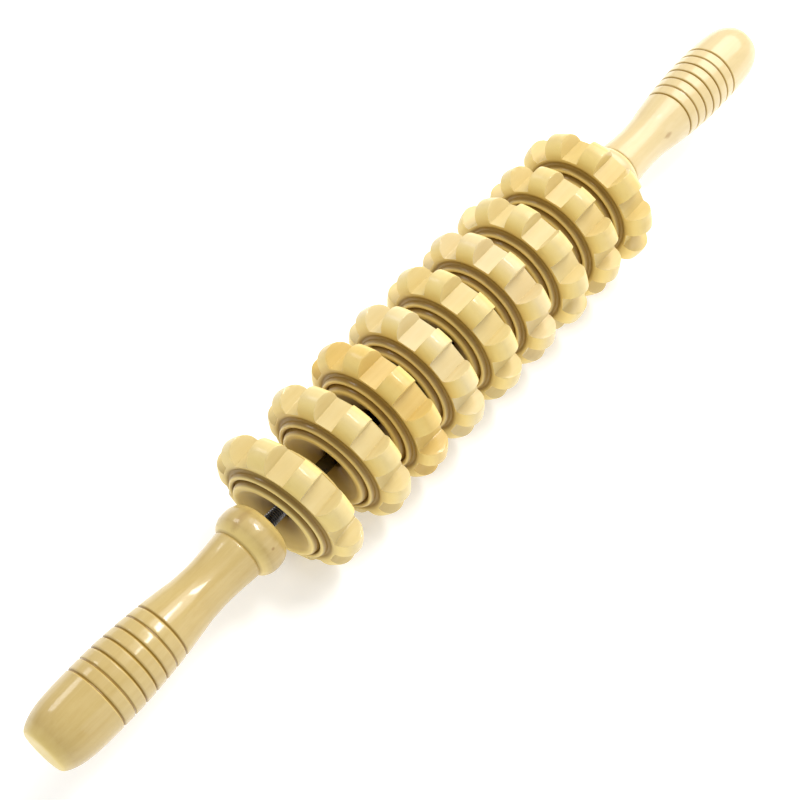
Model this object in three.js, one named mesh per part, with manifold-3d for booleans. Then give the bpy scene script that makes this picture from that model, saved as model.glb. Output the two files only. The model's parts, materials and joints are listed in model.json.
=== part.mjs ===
// Hand-held wooden massage roller: nine toothed wheels spinning on one steel axle
// that is screwed into a turned handle at each end.
// Millimetres, +Z up, axle along X, origin at the middle of the axle.
import * as THREE from 'three';
import Module from 'manifold-3d';
import { mergeVertices } from 'three/addons/utils/BufferGeometryUtils.js';

const wasm = await Module();
wasm.setup();

// ---- driving dimensions ----
const WHEEL_RADIUS = 27.5;
const WHEEL_WIDTH = 18.2;
const RIM_HALF_WIDTH = 5.7;
const RIM_SIDE_RADIUS = 22.2;
const BOSS_RADIUS = 19.2;
const WHEEL_BORE_RADIUS = 3.6;
const WHEEL_SEGMENTS = 30;

const TOOTH_COUNT = 10;
const NOTCH_FLOOR_RADIUS = 21.7;
const NOTCH_FLOOR_WIDTH = 6.6;
const NOTCH_FLARE = 0.35;
const NOTCH_TOP = 30.0;

const HANDLE_LENGTH = 95.0;
const HANDLE_FACE_X = 90.5;
const HANDLE_SEGMENTS = 20;
const GRIP_GROOVE_COUNT = 7;
const GRIP_GROOVE_FIRST = 45.9;
const GRIP_GROOVE_PITCH = 4.6;
const GRIP_GROOVE_HALF_WIDTH = 0.7;
const GRIP_GROOVE_DEPTH = 0.6;

const AXLE_RADIUS = 2.5;
const AXLE_INSIDE_HANDLE = 28.0;
const AXLE_CHAMFER = 0.6;
const AXLE_HOLE_DEPTH = 30.0;
const AXLE_SEGMENTS = 20;

const INSERT_RADIUS = 4.5;
const INSERT_LENGTH = 15.0;
const INSERT_CHAMFER = 0.7;
const WASHER_RADIUS = 5.0;
const WASHER_THICKNESS = 0.9;
const RING_SEGMENTS = 24;

const GAP = 0.3;

// x: wheel centre along the axle. turn: how far the wheel is turned about its own axis
// (degrees, a land on top for 0). The loose bore lets a wheel with room beside it tip a little:
// lean is its top towards the near handle and yaw its +Y side towards the near handle (degrees).
const WHEELS = [
  { x: -78.2, turn: 19, lean: 2, yaw: 4.5 },
  { x: -54.2, turn: 16.5, lean: 1, yaw: 3.5 },
  { x: -33.8, turn: 18.5, lean: 0, yaw: 0 },
  { x: -14.4, turn: 18.5, lean: 0, yaw: 0 },
  { x: 6.0, turn: 22.5, lean: 0, yaw: 0 },
  { x: 25.4, turn: 18, lean: 0, yaw: 0 },
  { x: 44.8, turn: 33.5, lean: 0, yaw: 0 },
  { x: 64.1, turn: 21, lean: 0, yaw: 0 },
  { x: 83.4, turn: 39, lean: 0, yaw: 0 },
];

// ---- materials ----
const paleWood = { color: 0xe6cf96, roughness: 0.38, metalness: 0.0 };
const amberWood = { color: 0xd9b36c, roughness: 0.38, metalness: 0.0 };
const steel = { color: 0x8b8d90, roughness: 0.32, metalness: 1.0 };
const brass = { color: 0xb8964f, roughness: 0.35, metalness: 1.0 };

// ---- helpers ----
function toManifold(geometry) {
  const bare = geometry.clone();
  bare.deleteAttribute('normal');
  bare.deleteAttribute('uv');
  const merged = mergeVertices(bare, 1e-4);
  return new wasm.Manifold(new wasm.Mesh({
    numProp: 3,
    vertProperties: new Float32Array(merged.attributes.position.array),
    triVerts: new Uint32Array(merged.index.array),
  }));
}

function fromManifold(solid) {
  const mesh = solid.getMesh();
  const geometry = new THREE.BufferGeometry();
  geometry.setAttribute('position', new THREE.BufferAttribute(new Float32Array(mesh.vertProperties), 3));
  geometry.setIndex(new THREE.BufferAttribute(new Uint32Array(mesh.triVerts), 1));
  return geometry;
}

// Turns a closed [x, radius] profile about the X axis.
function turned(profile, segments) {
  const points = profile.map(([x, radius]) => new THREE.Vector2(radius, x));
  const geometry = new THREE.LatheGeometry(points, segments);
  geometry.rotateZ(-Math.PI / 2);
  return geometry;
}

function named(name, geometry, material) {
  const faceted = geometry.index ? geometry.toNonIndexed() : geometry;
  faceted.computeVertexNormals();
  const mesh = new THREE.Mesh(faceted, new THREE.MeshStandardMaterial(material));
  mesh.name = name;
  return mesh;
}

// ---- toothed wheel ----
function wheelProfile() {
  const half = WHEEL_WIDTH / 2;
  const side = [
    [half - 5.2, WHEEL_BORE_RADIUS],
    [half - 3.5, 7.0],
    [half - 2.0, 11.2],
    [half - 0.9, 13.3],
    [half, 14.6],
    [half, 15.9],
    [half - 1.2, 17.0],
    [half - 1.1, BOSS_RADIUS - 0.5],
    [RIM_HALF_WIDTH, BOSS_RADIUS],
    [RIM_HALF_WIDTH, RIM_SIDE_RADIUS],
    [RIM_HALF_WIDTH * 0.82, 25.1],
    [RIM_HALF_WIDTH * 0.5, 26.75],
    [RIM_HALF_WIDTH * 0.17, WHEEL_RADIUS],
  ];
  const mirrored = side.map(([x, radius]) => [-x, radius]);
  return [...mirrored, ...side.reverse(), mirrored[0]];
}

function notchCutter(angle) {
  const low = NOTCH_FLOOR_WIDTH / 2;
  const high = low + (NOTCH_TOP - NOTCH_FLOOR_RADIUS) * NOTCH_FLARE;
  const shape = new THREE.Shape([
    new THREE.Vector2(-low, NOTCH_FLOOR_RADIUS),
    new THREE.Vector2(low, NOTCH_FLOOR_RADIUS),
    new THREE.Vector2(high, NOTCH_TOP),
    new THREE.Vector2(-high, NOTCH_TOP),
  ]);
  const length = WHEEL_WIDTH;
  const geometry = new THREE.ExtrudeGeometry(shape, { depth: length, bevelEnabled: false });
  geometry.translate(0, 0, -length / 2);
  geometry.rotateY(Math.PI / 2);
  geometry.rotateX(Math.PI / 2 + angle);
  return geometry;
}

function wheelGeometry() {
  let solid = toManifold(turned(wheelProfile(), WHEEL_SEGMENTS));
  for (let i = 0; i < TOOTH_COUNT; i += 1) {
    const angle = ((i + 0.5) * 2 * Math.PI) / TOOTH_COUNT;
    solid = solid.subtract(toManifold(notchCutter(angle)));
  }
  return fromManifold(solid);
}

// ---- handle, written as distance from its front face, then radius ----
function gripRadius(t) {
  const spine = [
    [13.0, 9.3], [19.6, 8.7], [26.0, 8.4], [32.7, 8.7], [38.3, 9.5], [47.4, 10.6],
    [56.4, 11.4], [63.4, 11.8], [73.7, 11.9], [83.4, 11.6],
  ];
  const next = spine.findIndex(([station]) => station >= t);
  const [t1, r1] = spine[next];
  if (next === 0) {
    return r1;
  }
  const [t0, r0] = spine[next - 1];
  return r0 + ((r1 - r0) * (t - t0)) / (t1 - t0);
}

function handleProfile() {
  const outline = [
    [0, 8.6], [1.2, 10.5], [3.4, 11.8], [6.2, 12.2], [9.0, 11.6], [11.0, 10.1], [12.0, 8.9],
    [13.0, 9.3], [19.6, 8.7], [26.0, 8.4], [32.7, 8.7], [38.3, 9.5],
  ];
  for (let i = 0; i < GRIP_GROOVE_COUNT; i += 1) {
    const t = GRIP_GROOVE_FIRST + i * GRIP_GROOVE_PITCH;
    outline.push([t - GRIP_GROOVE_HALF_WIDTH, gripRadius(t - GRIP_GROOVE_HALF_WIDTH)]);
    outline.push([t, gripRadius(t) - GRIP_GROOVE_DEPTH]);
    outline.push([t + GRIP_GROOVE_HALF_WIDTH, gripRadius(t + GRIP_GROOVE_HALF_WIDTH)]);
  }
  outline.push([83.4, 11.6], [88.0, 11.0], [91.6, 9.9], [94.0, 8.6], [HANDLE_LENGTH, 7.5]);
  const pocket = INSERT_RADIUS + GAP;
  const hole = AXLE_RADIUS + GAP;
  return [
    [AXLE_HOLE_DEPTH + hole * 0.6, 0],
    [AXLE_HOLE_DEPTH, hole],
    [INSERT_LENGTH + 2 * GAP, hole],
    [INSERT_LENGTH + 2 * GAP, pocket],
    [0, pocket],
    ...outline,
    [HANDLE_LENGTH, 0],
  ];
}

// side -1 puts a part at the near handle, +1 at the far one
function atSide(profile, side) {
  const placed = profile.map(([t, radius]) => [side * (HANDLE_FACE_X + t), radius]);
  return side > 0 ? placed : placed.reverse();
}

function insertProfile() {
  const hole = AXLE_RADIUS + GAP;
  const end = INSERT_LENGTH + GAP;
  return [
    [GAP, hole],
    [GAP, INSERT_RADIUS],
    [end - INSERT_CHAMFER, INSERT_RADIUS],
    [end, INSERT_RADIUS - INSERT_CHAMFER],
    [end, hole],
    [GAP, hole],
  ];
}

function washerProfile() {
  const hole = AXLE_RADIUS + GAP;
  return [
    [-GAP - WASHER_THICKNESS, hole],
    [-GAP - WASHER_THICKNESS, WASHER_RADIUS],
    [-GAP, WASHER_RADIUS],
    [-GAP, hole],
    [-GAP - WASHER_THICKNESS, hole],
  ];
}

function axleProfile() {
  const end = HANDLE_FACE_X + AXLE_INSIDE_HANDLE;
  return [
    [-end, 0],
    [-end, AXLE_RADIUS - AXLE_CHAMFER],
    [-end + AXLE_CHAMFER, AXLE_RADIUS],
    [end - AXLE_CHAMFER, AXLE_RADIUS],
    [end, AXLE_RADIUS - AXLE_CHAMFER],
    [end, 0],
  ];
}

// ---- assembly ----
const group = new THREE.Group();
group.name = 'foot_massage_roller';

group.add(named('axle', turned(axleProfile(), AXLE_SEGMENTS), steel));

for (const [label, side] of [['near', -1], ['far', 1]]) {
  group.add(named(`${label}_handle`, turned(atSide(handleProfile(), side), HANDLE_SEGMENTS), paleWood));
  group.add(named(`${label}_threaded_insert`, turned(atSide(insertProfile(), side), RING_SEGMENTS), brass));
  group.add(named(`${label}_thrust_washer`, turned(atSide(washerProfile(), side), RING_SEGMENTS), steel));
}

const wheelShape = wheelGeometry();
WHEELS.forEach(({ x, turn, lean, yaw }, index) => {
  const geometry = wheelShape.clone();
  geometry.rotateX(THREE.MathUtils.degToRad(turn));
  geometry.rotateY(-THREE.MathUtils.degToRad(lean));
  geometry.rotateZ(THREE.MathUtils.degToRad(yaw));
  geometry.translate(x, 0, 0);
  const wood = index === 2 ? amberWood : paleWood;
  group.add(named(`wheel_${index + 1}`, geometry, wood));
});

export default group;
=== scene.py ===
"""Looks of the wooden massage roller: turned handles, toothed wheels, threaded axle, studio."""

import json
import math
import random

import bmesh
import bpy
import numpy as np
from mathutils import Matrix, Vector


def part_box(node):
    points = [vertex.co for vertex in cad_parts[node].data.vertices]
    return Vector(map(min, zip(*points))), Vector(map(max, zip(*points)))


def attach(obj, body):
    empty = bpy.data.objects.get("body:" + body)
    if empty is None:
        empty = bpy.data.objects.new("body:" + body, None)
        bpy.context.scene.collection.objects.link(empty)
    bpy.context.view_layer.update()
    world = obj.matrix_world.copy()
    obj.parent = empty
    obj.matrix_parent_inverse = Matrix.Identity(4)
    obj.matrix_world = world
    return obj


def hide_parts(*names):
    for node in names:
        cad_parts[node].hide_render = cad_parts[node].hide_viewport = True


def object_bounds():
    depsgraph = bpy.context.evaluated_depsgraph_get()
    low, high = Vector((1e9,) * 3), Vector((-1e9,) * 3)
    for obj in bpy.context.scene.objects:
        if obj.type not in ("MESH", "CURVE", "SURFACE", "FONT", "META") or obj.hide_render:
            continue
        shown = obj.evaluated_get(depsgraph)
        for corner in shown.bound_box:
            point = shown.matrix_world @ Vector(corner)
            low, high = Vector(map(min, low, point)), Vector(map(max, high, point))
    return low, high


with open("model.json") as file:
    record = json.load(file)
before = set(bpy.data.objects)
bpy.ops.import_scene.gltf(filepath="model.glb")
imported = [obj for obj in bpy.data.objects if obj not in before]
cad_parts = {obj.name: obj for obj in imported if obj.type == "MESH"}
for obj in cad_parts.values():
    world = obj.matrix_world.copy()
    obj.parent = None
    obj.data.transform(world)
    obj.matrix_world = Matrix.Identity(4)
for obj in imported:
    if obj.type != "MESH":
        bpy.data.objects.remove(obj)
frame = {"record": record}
cad_box = [list(corner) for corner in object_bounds()]

MM = 0.001

# Sizes are in millimetres.
WHEEL_COUNT = 9
AMBER_WHEEL = 3
WHEEL_SEED = 410
TOOTH_COUNT = 10
WHEEL_RADIUS = 27.5
WHEEL_HALF_WIDTH = 9.1
RIM_HALF_WIDTH = 5.7
NOTCH_FLOOR_RADIUS = 21.7
NOTCH_HALF_FLOOR = 3.3
NOTCH_FLARE = 0.35
WHEEL_BORE = 3.6
NOTCH_EDGE_ROUNDING = 0.45
NOTCHED_FROM_RADIUS = 21.0
RUNOUT_FROM_RADIUS = 12
OUTSIDE_THE_NOTCH = 99.0
WALL_ANGLE = math.radians(5.5)
CORNER = math.radians(0.3)
CROWN_ROWS = 18
CROWN_FOOT = 21.9

AXLE_RADIUS = 2.5
AXLE_HOLE_RADIUS = 2.8
AXLE_PLAIN_HALF_LENGTH = 78.0
AXLE_COLUMNS = 30
THREAD_PITCH = 0.8
THREAD_DEPTH = 0.42

HANDLE_FACE = 90.5
GROOVE_FIRST = 45.9
GROOVE_PITCH = 4.6
GROOVE_COUNT = 7
GROOVE_HALF_WIDTH = 0.62
GROOVE_DEPTH = 0.62
GROOVE_SHARPNESS = 1.3
BEAD_END = 12.0


# ---- mesh helpers -------------------------------------------------------------------
def smooth_line(points, step):
    """A Catmull-Rom line through 2-D points, sampled about every step."""
    pts = [points[0]] + list(points) + [points[-1]]
    out = []
    for i in range(1, len(pts) - 2):
        p0, p1, p2, p3 = (np.array(p, float) for p in pts[i - 1 : i + 3])
        count = max(2, int(np.linalg.norm(p2 - p1) / step))
        for k in range(count):
            t = k / count
            out.append(
                0.5
                * (
                    2 * p1
                    + (p2 - p0) * t
                    + (2 * p0 - 5 * p1 + 4 * p2 - p3) * t * t
                    + (3 * p1 - p0 - 3 * p2 + p3) * t**3
                )
            )
    out.append(np.array(points[-1], float))
    return out


def ring_surface(name, rows, angles, place, closed):
    """A surface wrapped round the X axis. place(row, column) gives (x, radius) in millimetres.
    A row whose radius is 0 is one point on the axis; closed joins the last row to the first."""
    mesh = bpy.data.meshes.new(name)
    build = bmesh.new()
    grid = []
    columns = len(angles)
    for i in range(rows):
        first_x, first_r = place(i, 0)
        if first_r < 1e-6:
            grid.append([build.verts.new((first_x * MM, 0.0, 0.0))])
            continue
        row = []
        for j, angle in enumerate(angles):
            x, r = place(i, j)
            y, z = -r * math.sin(angle), r * math.cos(angle)
            row.append(build.verts.new((x * MM, y * MM, z * MM)))
        grid.append(row)
    pairs = [(i, i + 1) for i in range(rows - 1)]
    if closed:
        pairs.append((rows - 1, 0))
    for a, b in pairs:
        low, high = grid[a], grid[b]
        for j in range(columns):
            k = (j + 1) % columns
            if len(low) == 1 and len(high) == 1:
                continue
            if len(low) == 1:
                build.faces.new((low[0], high[k], high[j]))
            elif len(high) == 1:
                build.faces.new((low[j], low[k], high[0]))
            else:
                build.faces.new((low[j], low[k], high[k], high[j]))
    bmesh.ops.recalc_face_normals(build, faces=build.faces)
    for face in build.faces:
        face.smooth = True
    build.to_mesh(mesh)
    build.free()
    piece = bpy.data.objects.new(name, mesh)
    bpy.context.scene.collection.objects.link(piece)
    return piece


def even_angles(count):
    return [2 * math.pi * j / count for j in range(count)]


def turned(name, profile, columns, closed=False):
    return ring_surface(name, len(profile), even_angles(columns), lambda i, _: profile[i], closed)


def soften(piece, angle):
    """Keeps real corners crisp and the rest smooth."""
    limit = math.radians(angle)
    build = bmesh.new()
    build.from_mesh(piece.data)
    for edge in build.edges:
        if len(edge.link_faces) == 2 and edge.calc_face_angle(0) > limit:
            edge.smooth = False
    build.to_mesh(piece.data)
    build.free()


# ---- toothed wheels -----------------------------------------------------------------
def wheel_section():
    """Closed [x, radius] line of the wheel, without notches, starting at the bore on -x."""
    half = WHEEL_HALF_WIDTH
    dish = [
        (half - 5.1, WHEEL_BORE + 0.3),
        (half - 4.6, 4.6),
        (half - 3.5, 7.0),
        (half - 2.7, 9.2),
        (half - 1.9, 11.4),
        (half - 1.0, 13.1),
    ]
    outer_ring = [
        (half - 0.3, 13.9),
        (half, 14.8),
        (half - 0.25, 15.7),
        (half - 1.0, 16.3),
        (half - 2.1, 16.6),
    ]
    inner_ring = [
        (half - 2.6, 16.85),
        (half - 2.0, 17.15),
        (half - 1.5, 17.8),
        (half - 1.7, 18.5),
        (half - 2.4, 18.95),
        (half - 3.3, 19.1),
    ]
    recess = [
        (RIM_HALF_WIDTH + 0.1, 19.25),
        (RIM_HALF_WIDTH - 0.35, 19.75),
        (RIM_HALF_WIDTH - 0.25, 20.35),
        (RIM_HALF_WIDTH, 21.0),
    ]
    crown = []
    for k in range(CROWN_ROWS + 1):
        t = k / CROWN_ROWS * math.pi / 2
        rise = (WHEEL_RADIUS - CROWN_FOOT) * math.sin(t)
        crown.append((RIM_HALF_WIDTH * math.cos(t), CROWN_FOOT + rise))
    side = [(half - 5.4, WHEEL_BORE)]
    side += smooth_line(dish + outer_ring, 0.5)
    side += smooth_line(inner_ring, 0.4)
    side += smooth_line(recess, 0.4)
    side += crown
    right = [(float(x), float(r)) for x, r in side]
    left = [(-x, r) for x, r in right[:-1]]
    return left + right[::-1]


def soft_min(a, b, radius):
    """The smaller of a and b with the corner between them rounded."""
    h = max(radius - abs(a - b), 0.0) / radius
    return min(a, b) - h * h * radius * 0.25


def notch_table(rng):
    """Each notch as cut: centre angle, floor radius, half width, lean."""
    table = []
    for k in range(TOOTH_COUNT):
        table.append(
            (
                (k + 0.5) * 2 * math.pi / TOOTH_COUNT + math.radians(rng.uniform(-0.7, 0.7)),
                NOTCH_FLOOR_RADIUS + rng.uniform(-0.25, 0.2),
                NOTCH_HALF_FLOOR + rng.uniform(-0.25, 0.25),
                math.radians(rng.uniform(-1.8, 1.8)),
            )
        )
    return table


def notch_radius(angle, notch):
    """How far from the axle the wood reaches in one notch: its flat floor or its flared wall."""
    centre, floor, half, lean = notch
    d = (angle - centre + math.pi) % (2 * math.pi) - math.pi
    flat = floor * math.cos(lean) / math.cos(d - lean)
    reach = math.sin(abs(d)) - NOTCH_FLARE * math.cos(d)
    if reach > -1e-6:
        return OUTSIDE_THE_NOTCH
    wall = (half - NOTCH_FLARE * floor) / reach
    return max(flat, wall)


def wheel_angles(table):
    """Angles of the grid columns, closest together on the notch walls."""
    angles = []
    for k, (centre, floor, half, _) in enumerate(table):
        foot = math.atan2(half, floor)
        top = foot + WALL_ANGLE
        following = table[(k + 1) % len(table)][0] + (2 * math.pi if k + 1 == len(table) else 0)
        next_top = math.atan2(table[(k + 1) % len(table)][2], floor) + WALL_ANGLE
        stops = [
            (centre - top, centre - foot - CORNER, 15),
            (centre - foot - CORNER, centre - foot + CORNER, 3),
            (centre - foot + CORNER, centre + foot - CORNER, 5),
            (centre + foot - CORNER, centre + foot + CORNER, 3),
            (centre + foot + CORNER, centre + top, 15),
            (centre + top, following - next_top, 4),
        ]
        for start, end, count in stops:
            angles += [start + (end - start) * i / count for i in range(count)]
    return angles


def wheel(index, seat, turn):
    """A wheel at its seat on the axle, turned about its own axis."""
    rng = random.Random(WHEEL_SEED + index)
    section = wheel_section()
    table = notch_table(rng)
    angles = wheel_angles(table)
    limits = [min(notch_radius(a, notch) for notch in table) for a in angles]
    runout, phase = rng.uniform(-0.05, 0.05), rng.uniform(0, 6.0)

    def place(i, j):
        x, r = section[i]
        if r > NOTCHED_FROM_RADIUS:
            r = soft_min(r, limits[j], NOTCH_EDGE_ROUNDING)
        if r > RUNOUT_FROM_RADIUS:
            r += runout * math.sin(angles[j] + phase)
        return x, r

    piece = ring_surface(f"toothed_wheel_{index}", len(section), angles, place, True)
    piece.data.transform(seat @ Matrix.Rotation(turn, 4, "X"))
    soften(piece, 40)
    return piece


# ---- handles ------------------------------------------------------------------------
def handle_section():
    """[distance from the front face, radius] from the blind hole round to the butt."""
    body = smooth_line(
        [
            (12.05, 8.95),
            (12.6, 9.25),
            (14.5, 9.15),
            (19.6, 8.7),
            (26.0, 8.45),
            (32.7, 8.75),
            (38.3, 9.55),
            (47.4, 10.7),
            (56.4, 11.45),
            (64.0, 11.85),
            (73.7, 11.9),
            (80.5, 11.75),
            (85.0, 11.45),
            (88.5, 10.9),
            (91.3, 10.05),
            (93.3, 9.1),
            (94.4, 8.3),
            (94.85, 7.6),
        ],
        0.35,
    )
    grooved = []
    for t, r in body:
        for k in range(GROOVE_COUNT):
            off = abs(t - (GROOVE_FIRST + k * GROOVE_PITCH))
            if off < GROOVE_HALF_WIDTH:
                r -= GROOVE_DEPTH * (1 - off / GROOVE_HALF_WIDTH) ** GROOVE_SHARPNESS
        grooved.append((float(t), float(r)))
    bead = smooth_line(
        [
            (0.12, 8.3),
            (0.45, 9.5),
            (1.5, 10.9),
            (3.4, 11.85),
            (5.8, 12.2),
            (8.2, 11.95),
            (10.2, 11.0),
            (11.4, 9.8),
            (11.95, 9.05),
        ],
        0.45,
    )
    front = [
        (31.5, 0.0),
        (30.0, 2.6),
        (29.8, AXLE_HOLE_RADIUS),
        (16.0, AXLE_HOLE_RADIUS),
        (15.6, 2.85),
        (15.6, 4.75),
        (15.5, 4.8),
        (0.4, 4.8),
        (0.0, 5.0),
        (0.0, 7.7),
    ]
    butt = [(94.98, 5.0), (95.0, 4.5), (95.0, 2.2), (95.0, 0.0)]
    return front + [(float(t), float(r)) for t, r in bead] + grooved + butt


def fine_grooves(section):
    """Adds rows across each fine groove so that its walls are sharp."""
    out = []
    for (t0, r0), (t1, r1) in zip(section, section[1:]):
        out.append((t0, r0))
        middle = (t0 + t1) / 2
        grooves = (GROOVE_FIRST + k * GROOVE_PITCH for k in range(GROOVE_COUNT))
        if any(abs(middle - groove) < 1.0 for groove in grooves):
            out.append((middle, (r0 + r1) / 2))
    out.append(section[-1])
    return out


def handle(name, node, side):
    low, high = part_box(node)
    face = (high.x if side < 0 else low.x) / MM
    section = [(face + side * t, r) for t, r in fine_grooves(handle_section())]
    piece = turned(name, section, 112)
    soften(piece, 38)
    return piece


# ---- metal parts --------------------------------------------------------------------
def threaded_rod(name, start, end):
    """The axle between two x values, threaded at both ends and plain in the middle."""
    plain = (-AXLE_PLAIN_HALF_LENGTH, AXLE_PLAIN_HALF_LENGTH)
    shortest, longest = 4.0, 8.0
    step = THREAD_PITCH / 8
    stations = [start]
    x = start + 0.5
    while x < end - 0.5:
        stations.append(x)
        if plain[0] < x < plain[1]:
            x = max(x + shortest, min(x + longest, plain[1]))
        else:
            x += step
    stations.append(end)

    angles = even_angles(AXLE_COLUMNS)

    def place(i, j):
        if i == 0:
            return start, 0.0
        if i == len(stations) + 1:
            return end, 0.0
        x = stations[i - 1]
        if i in (1, len(stations)):
            return x, AXLE_RADIUS - THREAD_DEPTH - 0.1
        if plain[0] < x < plain[1]:
            return x, AXLE_RADIUS - 0.02
        phase = (x / THREAD_PITCH + angles[j] / (2 * math.pi)) % 1.0
        ridge = 1 - abs(2 * phase - 1)
        return x, AXLE_RADIUS - THREAD_DEPTH * (1 - min(1.0, ridge * 1.25))

    piece = ring_surface(name, len(stations) + 2, angles, place, False)
    soften(piece, 60)
    return piece


def washer(name, node):
    low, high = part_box(node)
    x0, x1, outer = low.x / MM, high.x / MM, high.z / MM
    edge, hole, middle = 0.14, AXLE_HOLE_RADIUS, 4.0
    section = [
        (x0 + edge, hole),
        (x0, hole + edge),
        (x0, middle),
        (x0, outer - edge),
        (x0 + edge * 0.4, outer - edge * 0.35),
        (x0 + edge, outer),
        (x1 - edge, outer),
        (x1 - edge * 0.4, outer - edge * 0.35),
        (x1, outer - edge),
        (x1, middle),
        (x1, hole + edge),
        (x1 - edge, hole),
    ]
    piece = turned(name, section, 72, True)
    soften(piece, 50)
    return piece


def insert(name, node):
    """Brass insert with a coarse outer thread and a plain collar at its mouth."""
    low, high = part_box(node)
    x0, x1 = low.x / MM, high.x / MM
    mouth_at_high = node.startswith("near")
    outer = high.z / MM
    bevel, collar, pitch = 0.9, 1.6, 2.0
    rows = [(x0, AXLE_HOLE_RADIUS), (x0, outer - bevel)]
    rows += [(float(x), None) for x in np.arange(x0 + 0.25, x1 - 0.2, 0.25)]
    rows += [(x1, outer - bevel), (x1, AXLE_HOLE_RADIUS)]

    angles = even_angles(64)

    def place(i, j):
        x, r = rows[i]
        if r is not None:
            return x, r
        from_mouth = (x1 - x) if mouth_at_high else (x - x0)
        if from_mouth < collar:
            return x, outer - 0.05
        phase = (x / pitch + angles[j] / (2 * math.pi)) % 1.0
        ridge = max(0.0, 1 - abs(2 * phase - 1) * 2.2)
        taper = min(1.0, 0.35 + (x1 - x0 - from_mouth) / 4)
        return x, outer - 0.75 + 0.72 * ridge * taper

    piece = ring_surface(name, len(rows), angles, place, True)
    soften(piece, 50)
    return piece


# ---- materials ----------------------------------------------------------------------
def new_material(name):
    material = bpy.data.materials.new(name)
    material.use_nodes = True
    nodes = material.node_tree.nodes
    nodes.clear()
    output = nodes.new("ShaderNodeOutputMaterial")
    shader = nodes.new("ShaderNodeBsdfPrincipled")
    material.node_tree.links.new(shader.outputs[0], output.inputs[0])
    return material, shader


class Graph:
    """Short ways to add the nodes that the materials share."""

    def __init__(self, material):
        self.tree = material.node_tree
        self.coord = self.tree.nodes.new("ShaderNodeTexCoord")

    def link(self, source, socket):
        self.tree.links.new(source, socket)

    def put(self, socket, value):
        if hasattr(value, "is_output"):
            self.link(value, socket)
        else:
            socket.default_value = value

    def math(self, operation, a, b=0.5, clamp=False):
        node = self.tree.nodes.new("ShaderNodeMath")
        node.operation = operation
        node.use_clamp = clamp
        self.put(node.inputs[0], a)
        self.put(node.inputs[1], b)
        return node.outputs[0]

    def mapped(self, scale, offset=(0, 0, 0), turn=(0, 0, 0)):
        node = self.tree.nodes.new("ShaderNodeMapping")
        self.link(self.coord.outputs["Object"], node.inputs[0])
        node.inputs["Location"].default_value = offset
        node.inputs["Rotation"].default_value = turn
        node.inputs["Scale"].default_value = scale
        return node.outputs[0]

    def noise(self, vector, scale, detail=4.0, rough=0.5):
        node = self.tree.nodes.new("ShaderNodeTexNoise")
        self.link(vector, node.inputs["Vector"])
        node.inputs["Scale"].default_value = scale
        node.inputs["Detail"].default_value = detail
        node.inputs["Roughness"].default_value = rough
        return node.outputs["Fac"]

    def remap(self, value, low, high, to_low=0.0, to_high=1.0):
        node = self.tree.nodes.new("ShaderNodeMapRange")
        self.put(node.inputs[0], value)
        for socket, number in zip(list(node.inputs)[1:5], (low, high, to_low, to_high)):
            socket.default_value = number
        return node.outputs[0]

    def mix(self, factor, a, b):
        node = self.tree.nodes.new("ShaderNodeMix")
        node.data_type = "RGBA"
        node.blend_type = "MIX"
        self.put(node.inputs[0], factor)
        self.put(node.inputs[6], a)
        self.put(node.inputs[7], b)
        return node.outputs[2]

    def split(self, vector):
        node = self.tree.nodes.new("ShaderNodeSeparateXYZ")
        self.link(vector, node.inputs[0])
        return node.outputs[0], node.outputs[1], node.outputs[2]

    def distance(self, centre, stretch):
        """How far a point of the piece is from centre, with each axis stretched."""
        place = [-c * k for c, k in zip(centre, stretch)]
        node = self.tree.nodes.new("ShaderNodeVectorMath")
        node.operation = "LENGTH"
        self.link(self.mapped(stretch, place), node.inputs[0])
        return node.outputs["Value"]

    def ramp(self, value, stops):
        node = self.tree.nodes.new("ShaderNodeValToRGB")
        self.link(value, node.inputs[0])
        elements = node.color_ramp.elements
        while len(elements) > 1:
            elements.remove(elements[-1])
        for k, (position, level) in enumerate(stops):
            element = elements[0] if k == 0 else elements.new(position)
            element.position = position
            element.color = (level, level, level, 1)
        return node.outputs[0]

    def bump(self, height, strength, distance):
        node = self.tree.nodes.new("ShaderNodeBump")
        self.link(height, node.inputs["Height"])
        node.inputs["Strength"].default_value = strength
        node.inputs["Distance"].default_value = distance
        return node.outputs["Normal"]


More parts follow.
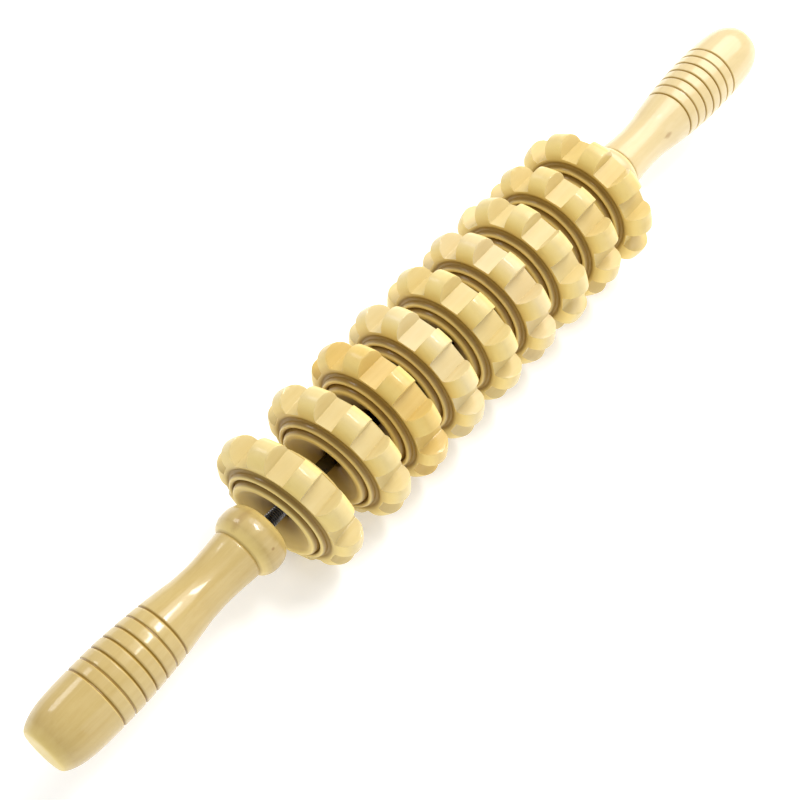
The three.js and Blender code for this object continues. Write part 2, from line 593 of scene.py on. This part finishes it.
def wood(name, pale, deep, offset, gloss, recess, knots=()):
    """Lacquered pale wood, its fibres along the axle. gloss is the strength of the lacquer coat.
    recess(graph) gives 0 on the open surface and 1 where shade is painted darker; each knot is
    (centre, radius, squeeze along the axle, strength), the first two in metres."""
    material, shader = new_material(name)
    g = Graph(material)
    warp = g.noise(g.mapped((6, 22, 22), offset), 1.0, 3.0)
    _, y, z = g.split(g.mapped((1, 1, 1), offset))
    dy = g.math("SUBTRACT", y, PITH_OFFSET[0])
    dz = g.math("SUBTRACT", z, PITH_OFFSET[1])
    dist = g.math("SQRT", g.math("ADD", g.math("MULTIPLY", dy, dy), g.math("MULTIPLY", dz, dz)))
    dist = g.math("ADD", dist, g.math("MULTIPLY", warp, RING_WARP))
    wave = g.math("SINE", g.math("MULTIPLY", dist, 2 * math.pi / RING_SPACING))
    rings = g.remap(wave, -1, 1)
    fibre = g.noise(g.mapped((90, 1700, 1700), offset), 1.0, 3.0, 0.6)
    streak = g.noise(g.mapped((22, 420, 420), offset), 1.0, 4.0, 0.6)
    cloud = g.noise(g.mapped((45, 90, 90), offset), 1.0, 4.0, 0.6)
    tone = g.math("MULTIPLY", rings, 0.10)
    tone = g.math("ADD", tone, g.remap(streak, 0.35, 0.75, 0.0, 0.26))
    tone = g.math("ADD", tone, g.remap(fibre, 0.4, 0.75, 0.0, 0.14))
    tone = g.math("ADD", tone, g.remap(cloud, 0.35, 0.7, 0.0, 0.42), clamp=True)
    colour = g.mix(tone, (*pale, 1), (*deep, 1))
    # faces square to the axle get a paler, yellower colour, which is painted light lifting the
    # shade on them; as end grain they are also less glossy
    square = g.math("ABSOLUTE", g.split(g.coord.outputs["Normal"])[0])
    colour = g.mix(g.remap(square, 0.35, 0.9, 0.0, 0.88), colour, (*END_FACE_PAINTED_LIGHT, 1))
    # painted shade: grooves and hollows marked by recess(g) get a darker amber colour
    recess_shade = recess(g)
    colour = g.mix(g.math("MULTIPLY", recess_shade, 0.9), colour, (*RECESS_SHADE_COLOUR, 1))
    for centre, radius, along, strength in knots:
        away = g.distance(centre, (along, 1, 1))
        away = g.math("ADD", away, g.math("MULTIPLY", g.math("SUBTRACT", fibre, 0.5), radius))
        spot = g.remap(away, radius * 0.4, radius, strength, 0.0)
        colour = g.mix(spot, colour, (*KNOT, 1))
    g.link(colour, shader.inputs["Base Color"])
    height = g.math("ADD", g.math("MULTIPLY", fibre, 0.6), g.math("MULTIPLY", streak, 0.5))
    g.link(g.bump(height, 0.08, 0.0002), shader.inputs["Normal"])
    g.link(g.remap(streak, 0.3, 0.7, 0.34, 0.46), shader.inputs["Roughness"])
    g.link(g.remap(square, 0.25, 0.8, gloss, 0.1 * gloss), shader.inputs["Coat Weight"])
    shader.inputs["Specular IOR Level"].default_value = gloss / 2
    shader.inputs["Coat Roughness"].default_value = 0.1
    return material


def wheel_recess_shade(g, seat):
    """Painted shade: darker in the grooves beside the two turned rings and in the dished middle.
    """
    own = seat.inverted()
    _, y, z = g.split(g.mapped((1, 1, 1), own.to_translation(), own.to_euler()))
    radius = g.math("SQRT", g.math("ADD", g.math("MULTIPLY", y, y), g.math("MULTIPLY", z, z)))
    return g.ramp(
        g.math("DIVIDE", radius, WHEEL_RADIUS * MM),
        [(r / WHEEL_RADIUS, value) for r, value in RECESS_SHADE_BY_RADIUS],
    )


def handle_recess_shade(g):
    """Painted shade: darker in the fine grooves of the grip and in the groove behind the bead."""
    x, _, _ = g.split(g.coord.outputs["Object"])
    from_face = g.math("SUBTRACT", g.math("ABSOLUTE", x), HANDLE_FACE * MM)
    first = g.math("SUBTRACT", from_face, (GROOVE_FIRST - GROOVE_PITCH / 2) * MM)
    phase = g.math("MODULO", first, GROOVE_PITCH * MM)
    off = g.math("ABSOLUTE", g.math("SUBTRACT", phase, GROOVE_PITCH / 2 * MM))
    line = g.remap(off, 0.25 * MM, 0.6 * MM, 1.0, 0.0)
    started = g.math("GREATER_THAN", first, 0.0)
    ended = g.math("LESS_THAN", first, GROOVE_COUNT * GROOVE_PITCH * MM)
    line = g.math("MULTIPLY", line, g.math("MULTIPLY", started, ended))
    behind = g.math("ABSOLUTE", g.math("SUBTRACT", from_face, BEAD_END * MM))
    return g.math("MAXIMUM", line, g.remap(behind, 0.1 * MM, 0.7 * MM, 0.6, 0.0))


def metal(name, colour, rough, stain, scale):
    material, shader = new_material(name)
    g = Graph(material)
    patch = g.noise(g.mapped((1, 1, 1)), scale, 4.0)
    colour_out = g.mix(g.remap(patch, 0.4, 0.7), (*colour, 1), (*stain, 1))
    g.link(colour_out, shader.inputs["Base Color"])
    g.link(g.remap(patch, 0.3, 0.7, rough * 0.8, rough * 1.3), shader.inputs["Roughness"])
    fine = g.noise(g.mapped((1, 1, 1)), scale * 6, 2.0)
    g.link(g.bump(fine, 0.08, 0.0001), shader.inputs["Normal"])
    shader.inputs["Metallic"].default_value = 1.0
    return material


def dress(piece, material, body, slot, *nodes):
    piece.data.materials.append(material)
    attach(piece, body)
    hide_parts(*nodes)


# ---- the object ---------------------------------------------------------------------
# The growth rings' centre, spacing and unevenness are in metres.
PITH_OFFSET = (0.03, 0.018)
RING_SPACING = 0.0026
RING_WARP = 0.006
# Paler colour painted on faces square to the axle as light that lifts their shade.
END_FACE_PAINTED_LIGHT = (0.88, 0.69, 0.25)
# Darker amber painted into grooves and hollows as shade.
RECESS_SHADE_COLOUR = (0.24, 0.13, 0.012)
KNOT = (0.30, 0.17, 0.05)
# How strongly shade is painted on a wheel at each distance from its axis.
RECESS_SHADE_BY_RADIUS = [
    (3.5, 1.0),
    (7.0, 0.85),
    (9.5, 0.6),
    (12.5, 0.35),
    (13.8, 0.05),
    (15.7, 0.05),
    (16.3, 1.0),
    (17.1, 1.0),
    (17.5, 0.05),
    (18.4, 0.05),
    (18.9, 0.95),
    (20.2, 0.9),
    (20.9, 0.35),
    (21.6, 0.1),
    (23.5, 0.0),
]
# The pale and the deep tone of each piece of wood.
HANDLE_TONES = {
    "near": ((0.50, 0.375, 0.145), (0.40, 0.27, 0.075)),
    "far": ((0.59, 0.47, 0.25), (0.53, 0.40, 0.18)),
}
HANDLE_KNOTS = {
    "near": [
        ((-0.0967, -0.0100, 0.0066), 0.0008, 1.0, 0.9),
        ((-0.0996, 0.0024, 0.0116), 0.0018, 0.15, 0.35),
    ],
    "far": [((0.1247, -0.0074, 0.0046), 0.0012, 0.5, 0.6)],
}
WHEEL_TONES = [
    ((0.65, 0.525, 0.25), (0.58, 0.44, 0.17)),
    ((0.66, 0.535, 0.26), (0.59, 0.45, 0.18)),
    ((0.65, 0.475, 0.17), (0.55, 0.37, 0.09)),
    ((0.67, 0.555, 0.30), (0.61, 0.475, 0.22)),
    ((0.66, 0.535, 0.25), (0.59, 0.44, 0.16)),
    ((0.67, 0.55, 0.30), (0.61, 0.465, 0.22)),
    ((0.66, 0.535, 0.26), (0.59, 0.45, 0.18)),
    ((0.66, 0.52, 0.24), (0.58, 0.43, 0.15)),
    ((0.65, 0.51, 0.22), (0.57, 0.41, 0.13)),
]
# How far each wheel is turned about its own axis at rest, in degrees.
WHEEL_TURNS = [19, 16.5, 18.5, 18.5, 22.5, 18, 33.5, 21, 39]
SPINS = {joint["child"]: joint for joint in frame["record"]["behaviour"]["joints"]}

for label, side in (("near", -1), ("far", 1)):
    pale, deep = HANDLE_TONES[label]
    grip_wood = wood(
        f"{label}_handle_wood",
        pale,
        deep,
        (0.21 * side, 0.013, 0.02 * side),
        0.6,
        handle_recess_shade,
        HANDLE_KNOTS[label],
    )
    dress(
        handle(f"{label}_turned_handle", f"{label}_handle", side),
        grip_wood,
        "stick",
        "handle_wood",
        f"{label}_handle",
    )

for number in range(1, WHEEL_COUNT + 1):
    node = f"wheel_{number}"
    lean = Vector((1, 0, 0)).rotation_difference(Vector(SPINS[node]["axis"]))
    seat = Matrix.Translation(SPINS[node]["pos_m"]) @ lean.to_matrix().to_4x4()
    turn = math.radians(WHEEL_TURNS[number - 1])
    pale, deep = WHEEL_TONES[number - 1]
    offset = (0.11 * number, 0.017 * (number % 4), 0.02 * (number % 3))
    look = wood(
        f"wheel_{number}_wood", pale, deep, offset, 0.3, lambda g: wheel_recess_shade(g, seat)
    )
    slot_name = "wheel_wood_amber" if number == AMBER_WHEEL else "wheel_wood"
    dress(wheel(number, seat, turn), look, node, slot_name, node)

axle_low, axle_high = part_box("axle")
axle_steel = metal("axle_steel", (0.16, 0.16, 0.17), 0.22, (0.07, 0.07, 0.07), 300)
rod = threaded_rod("threaded_axle", axle_low.x / MM, axle_high.x / MM)
dress(rod, axle_steel, "stick", "axle_steel", "axle")

washer_steel = metal("washer_steel", (0.55, 0.55, 0.56), 0.25, (0.38, 0.37, 0.36), 500)
insert_brass = metal("insert_brass", (0.70, 0.50, 0.20), 0.30, (0.50, 0.34, 0.12), 500)
for label in ("near", "far"):
    dress(
        washer(f"{label}_washer", f"{label}_thrust_washer"),
        washer_steel,
        "stick",
        "washer_steel",
        f"{label}_thrust_washer",
    )
    dress(
        insert(f"{label}_insert", f"{label}_threaded_insert"),
        insert_brass,
        "stick",
        "insert_brass",
        f"{label}_threaded_insert",
    )

# ---- studio, in metres and watts ----------------------------------------------------
FLOOR_GAP = 0.0003
WORLD_STRENGTH = 0.55


def floor_plane():
    mesh = bpy.data.meshes.new("studio_floor")
    build = bmesh.new()
    bmesh.ops.create_grid(build, x_segments=8, y_segments=8, size=4.0)
    build.to_mesh(mesh)
    build.free()
    plane = bpy.data.objects.new("studio_floor", mesh)
    plane.location = (0, 0, cad_box[0][2] - FLOOR_GAP)
    bpy.context.scene.collection.objects.link(plane)
    material, shader = new_material("studio_floor_paint")
    shader.inputs["Base Color"].default_value = (0.93, 0.93, 0.92, 1)
    shader.inputs["Roughness"].default_value = 0.8
    shader.inputs["Specular IOR Level"].default_value = 0.1
    shader.inputs["Emission Color"].default_value = (1, 1, 1, 1)
    shader.inputs["Emission Strength"].default_value = 0.25
    mesh.materials.append(material)


def area_light(name, position, size, power):
    """A rectangular lamp aimed at the middle of the object."""
    data = bpy.data.lights.new(name, "AREA")
    data.shape = "RECTANGLE"
    data.size, data.size_y = size
    data.energy = power
    lamp = bpy.data.objects.new(name, data)
    lamp.location = position
    aim = Vector((0, 0, 0)) - Vector(position)
    lamp.rotation_euler = aim.to_track_quat("-Z", "Y").to_euler()
    bpy.context.scene.collection.objects.link(lamp)


floor_plane()
area_light("key", (0.90, 0.0, 1.05), (1.2, 1.2), 17.0)
area_light("glint", (0.45, -0.15, 1.25), (0.5, 0.16), 7.0)
area_light("left", (-0.10, 1.05, 0.85), (0.4, 0.4), 3.5)
area_light("right", (0.25, -1.15, 0.45), (0.9, 0.9), 3.5)

world = bpy.data.worlds.new("studio_world")
world.use_nodes = True
sky = world.node_tree.nodes["Background"]
sky.inputs["Color"].default_value = (1, 1, 1, 1)
sky.inputs["Strength"].default_value = WORLD_STRENGTH
bpy.context.scene.world = world
bpy.context.scene.view_settings.view_transform = "Standard"

# ---- camera -------------------------------------------------------------------------
SENSOR_MM = 36.0
LENS_MM = 69.95
ELEVATION = math.radians(56.44)
BEARING = math.radians(-50.83)
CENTRE_IN_VIEW = Vector((0.014380, 0.018524, -0.526327))

sin_b, cos_b = math.sin(BEARING), math.cos(BEARING)
sin_e, cos_e = math.sin(ELEVATION), math.cos(ELEVATION)
right = Vector((cos_b, sin_b, 0))
up = Vector((-sin_b * sin_e, cos_b * sin_e, cos_e))
back = Vector((sin_b * cos_e, -cos_b * cos_e, sin_e))
turn_matrix = Matrix((right, up, back)).transposed()
camera_data = bpy.data.cameras.new("photo_camera")
camera_data.sensor_width = SENSOR_MM
camera_data.lens = LENS_MM
camera_data.clip_start = 0.02
camera = bpy.data.objects.new("photo_camera", camera_data)
bpy.context.scene.collection.objects.link(camera)
camera_place = -(turn_matrix @ CENTRE_IN_VIEW)
camera.matrix_world = Matrix.Translation(camera_place) @ turn_matrix.to_4x4()
bpy.context.scene.camera = camera

bpy.context.view_layer.update()
